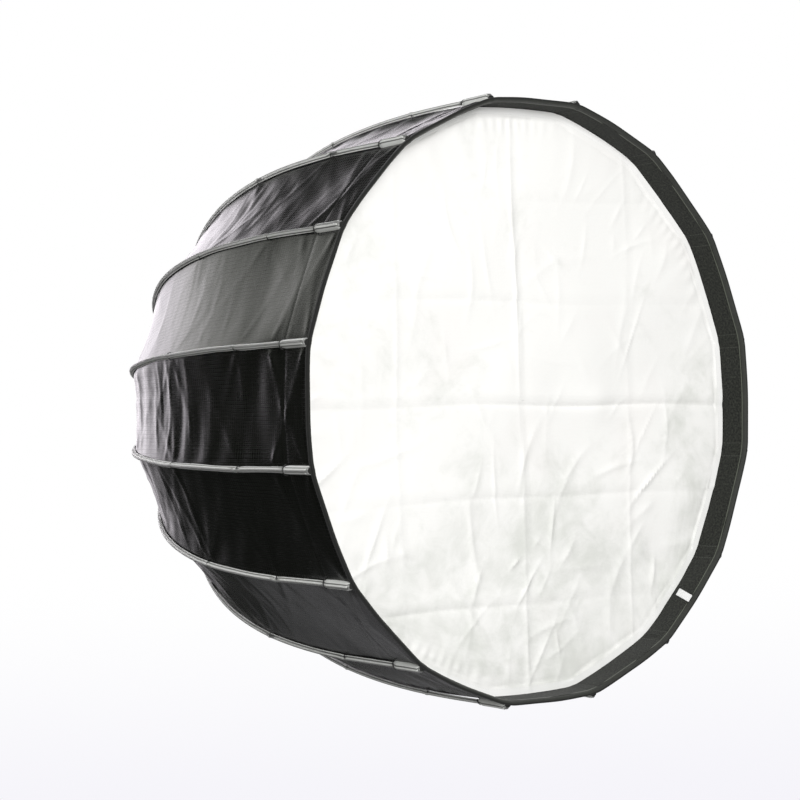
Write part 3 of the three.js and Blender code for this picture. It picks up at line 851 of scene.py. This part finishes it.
def sleeve(k):
    draw = np.random.default_rng(300 + k)
    start = run_at_radius(SLEEVE_START)
    end = LENGTH - POCKET_LENGTH + 0.003
    runs = np.linspace(start, end, 210)
    centres, sides, ups = rib_frame(k, runs)
    from_rim = LENGTH - runs
    base = CLOTH_INSIDE_ROD
    rows = []
    sway = np.zeros_like(runs)
    for tack in TACKS:
        sway += draw.uniform(0.0004, 0.0009) * draw.choice([-1, 1]) * crease(from_rim - tack, 0.012)
    sway += 0.00035 * np.sin(from_rim * 38 + draw.uniform(0, 6))
    for back in from_rim:
        pinch = sum(float(crease(back - tack, 0.006)) for tack in TACKS)
        knot = sum(float(crease(back - tack - 0.004, 0.0028)) for tack in TACKS)
        half = SLEEVE_WIDTH / 2 * (1 - 0.20 * pinch + 0.10 * knot)
        swell = 1 + 0.06 * math.sin(back * 61 + k)
        rows.append(tube_tape(half * swell, 0.0055 + 0.0010 * knot, 0.0017 * swell, base))
    profile = np.array(rows)
    profile[..., 0] += sway[:, None]
    points, faces = swept(centres, sides, ups, profile)
    along = np.broadcast_to(from_rim[:, None], profile.shape[:2])
    maps = {"cloth": np.stack([wrapped(profile), along], -1).reshape(-1, 2)}
    made = new_piece(numbered("sleeve", k), points, faces, [SLEEVE], maps)
    facing_out(made)
    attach(made, numbered("rib", k))
    return made


def tip_pocket(k):
    """The wider pocket that holds the rib's tip, closed at the rim."""
    end = LENGTH + np.array([-0.002, 0.0005, 0.0018])
    runs = np.concatenate([np.linspace(LENGTH - POCKET_LENGTH, LENGTH - 0.004, 30), end])
    centres, sides, ups = rib_frame(k, runs)
    rows = []
    for run in runs:
        closing = float(ease(LENGTH - 0.004, LENGTH + 0.0025, run))
        opening = float(1 - ease(LENGTH - POCKET_LENGTH, LENGTH - POCKET_LENGTH + 0.006, run))
        half = POCKET_WIDTH / 2 * (1 - 0.10 * opening - 0.12 * closing)
        a = np.linspace(-half, half, 21)
        crown = 0.0070 - 0.0020 * closing - 0.0010 * opening
        crown = crown * np.sqrt(np.clip(1 - (a / (half * 0.92)) ** 2, 0, 1))
        top = CLOTH_INSIDE_ROD - 0.0004 + (crown + 0.0012) * (1 - 0.25 * closing)
        low = np.full(21, CLOTH_INSIDE_ROD - 0.0012)
        rows.append(np.concatenate([np.stack([a, top], -1), np.stack([a[::-1], low], -1)]))
    profile = np.array(rows)
    points, faces = swept(centres, sides, ups, profile)
    along = np.broadcast_to((LENGTH - runs)[:, None], profile.shape[:2])
    maps = {"cloth": np.stack([wrapped(profile), along], -1).reshape(-1, 2)}
    made = new_piece(numbered("tip_pocket", k), points, faces, [SLEEVE], maps)
    facing_out(made)
    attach(made, numbered("rib", k))
    return made


def pocket_seam(k):
    """The dark cord of stitching across the sleeve where the pocket starts, and one at each tack."""
    points, faces, count = [], [], 0
    spots = [(POCKET_LENGTH, POCKET_WIDTH / 2 + 0.0012, 0.0048, 0.0008)]
    spots += [(tack, SLEEVE_WIDTH / 2 + 0.0002, 0.0036, 0.0006) for tack in TACKS]
    for back, half, height, thick in spots:
        centre, side, up = (row[0] for row in rib_frame(k, np.array([LENGTH - back])))
        way = np.cross(side, up)
        turn = np.linspace(-0.15, math.pi + 0.15, 17)
        path = centre + np.outer(np.cos(turn) * half, side)
        path += np.outer(CLOTH_INSIDE_ROD + 0.0006 + np.clip(np.sin(turn), -0.1, 1) * height * 1.22, up)
        radial = path - (centre + up * CLOTH_INSIDE_ROD)
        radial /= np.linalg.norm(radial, axis=1, keepdims=True)
        around = np.linspace(0, 2 * math.pi, 9)[:-1]
        ring = np.array([(thick * math.cos(a), thick * math.sin(a)) for a in around])
        p, f = swept(path, np.broadcast_to(way, path.shape), radial, ring)
        points.append(p)
        faces += [[index + count for index in face] for face in f]
        count += len(p)
    points = np.vstack(points)
    maps = {"cloth": points[:, [0, 2]]}
    made = facing_out(new_piece(numbered("sleeve_stitching", k), points, faces, [WEBBING], maps))
    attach(made, numbered("rib", k))
    return made


def slit_patch(k):
    """The webbing patch round the slit where the rod enters its sleeve."""
    runs = np.linspace(run_at_radius(SLIT_FROM - 0.004), run_at_radius(SLIT_TO + 0.006), 18)
    centres, sides, ups = rib_frame(k, runs)
    offset = cloth_offset(runs)
    half = 0.0105
    a = np.linspace(-half, half, 13)
    rows = []
    for lie in offset:
        sag = np.abs(a) * math.tan(PITCH / 2) * 0.98
        top = lie + 0.0016 - sag
        low = lie + 0.0002 - sag
        rows.append(np.concatenate([np.stack([a, top], -1), np.stack([a[::-1], low[::-1]], -1)]))
    profile = np.array(rows)
    points, faces = swept(centres, sides, ups, profile)
    along = np.broadcast_to(runs[:, None], profile.shape[:2])
    maps = {"cloth": np.stack([profile[..., 0], along], -1).reshape(-1, 2)}
    made = facing_out(new_piece(numbered("slit_patch", k), points, faces, [WEBBING], maps))
    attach(made, numbered("rib", k))
    return made


# ---- Front diffuser -----------------------------------------------------------------------------------
def from_hem(x, z):
    """Distance of a point of the diffuser from its straight-sided edge."""
    angle = np.arctan2(x, z)
    aside = (angle + PITCH / 2) % PITCH - PITCH / 2
    return diffuser_edge() * FLAT - np.hypot(x, z) * np.cos(aside)


FOLD_LINES_UP = ((-0.215, 0.0007), (-0.007, 0.0016), (0.196, 0.0009))
FOLD_LINES_ACROSS = ((0.262, 0.0006), (0.131, 0.0010), (-0.008, 0.0027), (-0.131, 0.0016), (-0.271, 0.0017))


def diffuser_relief(x, z):
    """How far the diffuser's cloth stands forward of its plane."""
    draw = np.random.default_rng(55)
    out = np.zeros_like(x)
    reach = np.hypot(x, z)
    for at, deep in FOLD_LINES_UP:
        path = at + 0.004 * np.sin(z * 6 + draw.uniform(0, 6)) + 0.0015 * np.sin(z * 23 + draw.uniform(0, 6))
        fade = 0.55 + 0.45 * np.sin(z * draw.uniform(7, 13) + draw.uniform(0, 6))
        out += deep * fade * crease(x - path, 0.0042) - 0.5 * deep * crease(x - path - 0.012, 0.012)
    for at, deep in FOLD_LINES_ACROSS:
        path = at + 0.004 * np.sin(x * 5 + draw.uniform(0, 6)) + 0.0015 * np.sin(x * 19 + draw.uniform(0, 6))
        fade = 0.6 + 0.4 * np.sin(x * draw.uniform(6, 12) + draw.uniform(0, 6))
        out -= deep * fade * crease(z - path, 0.0048) - 0.6 * deep * crease(z - path - 0.014, 0.014)
    # Pillowing of the fields between the folds.
    out += 0.0022 * np.sin(math.pi * (x + 0.007) / 0.203) * np.sin(math.pi * (z + 0.008) / 0.129)
    # Slanting wrinkles, thickest low and to the right.
    for _ in range(150):
        cx, cz = draw.uniform(-0.36, 0.37), draw.uniform(-0.37, 0.34)
        turn = draw.normal(1.05, 0.65)
        long, wide = draw.uniform(0.010, 0.050), draw.uniform(0.0030, 0.0075)
        deep = draw.uniform(0.3, 1.1) * 1e-3 * (2.5 if cz < -0.06 else 0.9)
        a = (x - cx) * math.cos(turn) + (z - cz) * math.sin(turn)
        b = -(x - cx) * math.sin(turn) + (z - cz) * math.cos(turn) + 2.0 * a * a * draw.normal(0, 1)
        out += deep * np.exp(-((a / long) ** 2)) * crease(b, wide)
    # Broad soft hollows.
    for _ in range(34):
        cx, cz, wide = draw.uniform(-0.35, 0.35), draw.uniform(-0.38, 0.3), draw.uniform(0.02, 0.07)
        out += draw.normal(0, 0.0019) * np.exp(-((x - cx) ** 2 + (z - cz) ** 2) / wide**2)
    # Pulls from the corners of the tape band.
    angle = np.arctan2(x, z)
    pulls = np.cos(RIBS * (angle - PITCH / 2)) + 0.7 * np.sin(41 * angle + 1.0) + 0.5 * np.sin(67 * angle)
    slack = 0.5 + 0.5 * np.sin(5 * angle + 2.6)
    out += 0.0004 * pulls * ease(0.27, 0.375, reach) * (0.35 + 0.65 * slack)
    inside = from_hem(x, z)
    out += 0.0005 * slack * np.sin(97 * angle + 9 * np.sin(7 * angle)) * crease(inside - 0.020, 0.010)
    out -= 0.0006 * crease(inside - 0.0124, 0.0034) * (1 + 0.5 * np.sin(29 * angle + 0.6))
    ragged = 0.0092 + 0.0010 * np.sin(37 * angle + 1.3) * np.sin(11 * angle)
    hem = 1 - ease(-0.0009, 0.0009, inside - ragged)
    return out * (1 - hem * 0.55) + 0.0005 * hem


def diffuser_edge():
    run = run_at_depth(DIFFUSER_DEPTH)
    return float(on_rib(run)[0] + outward(run)[0] * (CLOTH_INSIDE_ROD - DIFFUSER_EDGE))


def diffuser_piece(name, x, z, from_edge, along_edge):
    """A two-layer sheet over a grid of (x, z), whose normals come from the whole diffuser's relief."""
    stand = diffuser_relief(x, z)
    step = 0.0008
    slope_x = (diffuser_relief(x + step, z) - diffuser_relief(x - step, z)) / (2 * step)
    slope_z = (diffuser_relief(x, z + step) - diffuser_relief(x, z - step)) / (2 * step)
    way = np.stack([-slope_x, -np.ones_like(x), -slope_z], -1)
    way /= np.linalg.norm(way, axis=-1, keepdims=True)
    front = np.stack([x, -DIFFUSER_DEPTH - stand, z], -1)
    back = front + np.array([0, CLOTH_THICKNESS, 0])
    points, faces = cloth_shell(front, back)
    maps = {
        "cloth": np.tile(np.stack([x, z], -1).reshape(-1, 2), (2, 1)),
        "seams": np.tile(np.stack([from_edge, along_edge], -1).reshape(-1, 2), (2, 1)),
    }
    made = new_piece(name, points, faces, [DIFFUSER], maps)
    first = made.data.polygons[0]
    if first.normal.y > 0:
        made.data.flip_normals()
    normals = np.concatenate([way.reshape(-1, 3), -way.reshape(-1, 3)])
    made.data.normals_split_custom_set_from_vertices(normals.tolist())
    return made


def diffuser_ring(k):
    edge = diffuser_edge()
    u, w = np.meshgrid(np.linspace(0, 1, 49), np.linspace(0, 1, 21))
    radius = RING_RADIUS + (edge - RING_RADIUS) * w
    point = across_gore(np.stack([radius, 0 * radius], -1), k, u)
    width = 2 * radius * math.sin(PITCH / 2)
    swell = rim_shape(k, u, width, 0 * u) * w
    point += place(np.stack([swell, 0 * swell], -1), rib_angle(k) + u * PITCH)
    from_edge = (edge - radius) * FLAT
    along = (u - 0.5) * 2 * radius * math.sin(PITCH / 2)
    made = diffuser_piece(numbered("diffuser_ring", k), point[..., 0], point[..., 2], from_edge, along)
    blend_gore(made, k)
    return made


def diffuser_wedge(k):
    """The part of the diffuser inside its ring that lies either side of rib k."""
    half = np.linspace(0, 1, 25)
    w = np.linspace(0.0, 1, 90)
    angle = rib_angle(k)
    at_rib = np.array([math.sin(angle), math.cos(angle)]) * RING_RADIUS
    sides = [
        np.array([math.sin(angle + s * PITCH / 2), math.cos(angle + s * PITCH / 2)]) * RING_RADIUS * FLAT
        for s in (-1, 1)
    ]
    rim = np.concatenate([
        sides[0] * (1 - half)[:, None] + at_rib * half[:, None],
        (at_rib * (1 - half)[:, None] + sides[1] * half[:, None])[1:],
    ])
    pinhole = 0.0015  # share of the radius left open, so that no face is a point
    point = rim[None] * (pinhole + (1 - pinhole) * w)[:, None, None]
    far = np.full(point.shape[:2], 0.2)  # well away from the sewn edge
    made = diffuser_piece(numbered("diffuser_wedge", k), point[..., 0], point[..., 1], far, far * 0)
    edge = tuple(place([RING_RADIUS, DIFFUSER_DEPTH], angle))
    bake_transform(made)
    return made


# ---- Small hard pieces ------------------------------------------------------------------------------------
def turned_piece(name, centre, axis, rings, finish, sides=24, dents=0):
    """A lathe-turned piece: rings of (radius, height along the axis), closed at both ends."""
    axis = np.array(axis, float) / np.linalg.norm(axis)
    first = np.cross(axis, [0.0, 1.0, 0.0] if abs(axis[1]) < 0.9 else [1.0, 0.0, 0.0])
    first /= np.linalg.norm(first)
    second = np.cross(axis, first)
    turn = np.linspace(0, 2 * math.pi, sides, endpoint=False)
    points = []
    for radius, height in rings:
        rough = 1 - (0.045 * (np.arange(sides) % 2) if dents and radius > dents else 0 * turn)
        ring = np.outer(np.cos(turn) * radius * rough, first) + np.outer(np.sin(turn) * radius * rough, second)
        points.append(np.array(centre) + ring + axis * height)
    faces = grid(len(rings), sides, closed=True).tolist() + end_caps(len(rings), sides)
    return facing_out(new_piece(name, np.vstack(points), faces, [finish]))


def cover_screws():
    """Socket screws that hold the hub's and the runner's covers, one between every pair of ribs."""
    for k in range(RIBS):
        angle = gore_angle(k)
        for stem, body, radius, depth, head in (
            ("hub_screw", "hub", 0.0775, -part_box("hub_cover")[0].y, 0.0028),
            ("runner_screw", "runner", 0.0563, -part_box("runner_cover")[0].y, 0.0019),
        ):
            centre = place([radius, depth], angle)
            rings = [(head, -0.0006), (head, 0.0008), (head * 0.86, 0.0013), (head * 0.5, 0.0014)]
            rings += [(head * 0.46, 0.0004), (head * 0.2, 0.0003)]
            made = turned_piece(numbered(stem, k), centre, (0, -1, 0), rings, STEEL, 18)
            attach(made, body)


def foot_rivets():
    """Rivet heads of the strut pins and a crimped ferrule where the rod enters the foot."""
    for k in range(RIBS):
        angle = rib_angle(k)
        side = np.array([math.cos(angle), 0, -math.sin(angle)])
        pin = place(HINGE + FOOT_WAY * 0.050, angle)
        for name, way in (("a", 1), ("b", -1)):
            rings = [(0.0026, 0.0), (0.0026, 0.0006), (0.0019, 0.0013), (0.0007, 0.0015)]
            named = f"{numbered('rivet', k)}_{name}"
            made = turned_piece(named, pin + side * way * 0.0044, side * way, rings, STEEL, 16)
            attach(made, numbered("rib", k))
        run = run_at_radius(HINGE[0] + FOOT_WAY[0] * 0.0655)
        centre = place(on_rib(run), angle)
        way = place(on_rib(run + 0.004), angle) - centre
        rings = [(0.0032, 0.0), (0.0041, 0.0004), (0.0041, 0.0028), (0.0034, 0.0034)]
        rings += [(0.0034, 0.0048), (0.0040, 0.0054), (0.0040, 0.0074), (0.0030, 0.0080)]
        made = turned_piece(numbered("ferrule", k), centre, way, rings, TURNED, 20)
        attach(made, numbered("rib", k))


def knob_grip():
    """The ribbed rubber grip on the lock screw and the rim of the release button."""
    low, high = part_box("lock_screw")
    middle = ((low.x + high.x) / 2, (low.y + high.y) / 2, low.z)
    rings = [(0.0082, 0.0015), (0.0090, 0.0022), (0.0090, 0.0106), (0.0082, 0.0113)]
    made = turned_piece("knob_grip", middle, (0, 0, 1), rings, BLACK_PLASTIC, 72, dents=0.0085)
    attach(made, "lock_screw")
    low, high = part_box("release_button")
    cap_depth = 0.013
    centre = (0.0, -cap_depth, high.z - 0.0006)
    rings = [(0.0080, -0.0010), (0.0083, -0.0003), (0.0081, 0.0008)]
    rings += [(0.0070, 0.0014), (0.0062, 0.0010), (0.0030, 0.0007)]
    made = turned_piece("button_rim", centre, (0, 0, 1), rings, RED_PLASTIC, 48)
    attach(made, "release_button")


# ---- Putting it together ------------------------------------------------------------------------------------
dress_cad()

gores = [canopy_gore(k) for k in range(RIBS)]
bindings = [rim_binding(k) for k in range(RIBS)]
bands = [tape_band(k) for k in range(RIBS)]
collars = [collar_binding(k) for k in range(RIBS)]
tab = blank_tab()
sleeves = [sleeve(k) for k in range(RIBS)]
pockets = [tip_pocket(k) for k in range(RIBS)]
for k in range(RIBS):
    pocket_seam(k)
    slit_patch(k)
rings = [diffuser_ring(k) for k in range(RIBS)]
wedges = [diffuser_wedge(k) for k in range(RIBS)]
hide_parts("front_diffuser")
cover_screws()
foot_rivets()
knob_grip()

gore_area = float(np.trapz(gore_width(RUN), RUN))

# ---- Floor, light and camera ----------------------------------------------------------------------------
FLOOR = -0.86


def floor_finish():
    finish = bpy.data.materials.new("pale_floor")
    finish.use_nodes = True
    tree = finish.node_tree
    shader = tree.nodes["Principled BSDF"]
    shader.inputs["Specular IOR Level"].default_value = 0.1
    shader.inputs["Roughness"].default_value = 0.8
    at = rest_place(Wire(tree))
    x, y = at.part("X"), at.part("Y")
    reach = (x * x + y * y) ** 0.5
    speck = at.noise(3.0, 3.0, 0.5)
    base = speck.colours((0.80, 0.80, 0.82, 1), (0.84, 0.84, 0.86, 1))
    tree.links.new(base.socket, shader.inputs["Base Color"])
    clear = tree.nodes.new("ShaderNodeBsdfTransparent")
    mix = tree.nodes.new("ShaderNodeMixShader")
    tree.links.new(reach.smooth(0.2, 1.0).socket, mix.inputs[0])
    tree.links.new(shader.outputs[0], mix.inputs[1])
    tree.links.new(clear.outputs[0], mix.inputs[2])
    tree.links.new(mix.outputs[0], tree.nodes["Material Output"].inputs[0])
    return finish


def lay_floor():
    turn = np.linspace(0, 2 * math.pi, 65)[:-1]
    reaches = (0.0, 0.4, 0.8, 1.1)
    points = [(r * math.cos(a), r * math.sin(a), FLOOR) for r in reaches for a in turn]
    made = new_piece("floor", points, grid(len(reaches), len(turn), closed=True), [floor_finish()])


def soft_light(name, spot, aim, size, power, colour=(1, 1, 1)):
    lamp = bpy.data.lights.new(name, "AREA")
    lamp.shape = "RECTANGLE"
    lamp.size, lamp.size_y = size
    lamp.energy = power
    lamp.color = colour
    made = bpy.data.objects.new(name, lamp)
    bpy.context.scene.collection.objects.link(made)
    way = Vector(aim) - Vector(spot)
    made.matrix_world = Matrix.Translation(spot) @ way.to_track_quat("-Z", "Y").to_matrix().to_4x4()
    made.visible_camera = False


def light_room():
    world = bpy.data.worlds.new("white_room")
    bpy.context.scene.world = world
    world.use_nodes = True
    tree = world.node_tree
    start = Wire(tree)
    way = start.node("TexCoord", out="Generated")
    x, y, up = (way.part(axis) for axis in "XYZ")
    level = (x * x + y * y + 0.0001) ** 0.5
    ahead = (x * 0.65 + y * 0.76) / level
    screen = ahead.smooth(0.62, 0.74) * (1 - up.smooth(0.26, 0.52)) * up.smooth(-0.26, 0.05)
    front = (0 - ahead).smooth(-0.25, 0.75)
    room = front.colours((0.028, 0.030, 0.027, 1), (0.27, 0.27, 0.265, 1))
    room = (up.smooth(0.35, 0.9) * 0.6).colours(room, (0.22, 0.22, 0.23, 1))
    room = screen.colours(room, (2.86, 2.71, 2.88, 1))
    seen = start.node("LightPath", out="Is Camera Ray")
    beyond = up.smooth(-0.17, -0.06).colours((0.91, 0.90, 0.95, 1), (1.0, 1.0, 1.0, 1))
    colour = seen.colours(room, beyond)
    tree.links.new(colour.socket, tree.nodes["Background"].inputs["Color"])
    tree.nodes["Background"].inputs["Strength"].default_value = 1.0
    soft_light("rear_left_softbox", (-0.9, 2.4, 1.35), (-0.2, -0.35, 0.1), (1.6, 1.3), 9, (1.0, 1.02, 0.94))
    soft_light("front_left_softbox", (-1.8, -4.4, 1.0), (0, -0.6, 0), (2.0, 2.0), 190)
    bpy.context.scene.view_settings.view_transform = "Standard"


def set_camera():
    heading, climb, roll = (math.radians(a) for a in (-40.545, -0.168, -1.572))
    back = Vector((math.sin(heading) * math.cos(climb), -math.cos(heading) * math.cos(climb), math.sin(climb)))
    right = Vector((0, 0, 1)).cross(back).normalized()
    up = back.cross(right)
    turned_right = right * math.cos(roll) + up * math.sin(roll)
    turned_up = up * math.cos(roll) - right * math.sin(roll)
    lens = bpy.data.cameras.new("camera")
    lens.sensor_width = 36
    lens.lens = 115.04
    lens.clip_start, lens.clip_end = 0.05, 60
    made = bpy.data.objects.new("camera", lens)
    bpy.context.scene.collection.objects.link(made)
    turn = Matrix((turned_right, turned_up, back)).transposed().to_4x4()
    made.matrix_world = Matrix.Translation((-2.3116, -3.1101, -0.0044)) @ turn
    bpy.context.scene.camera = made


lay_floor()
light_room()
set_camera()
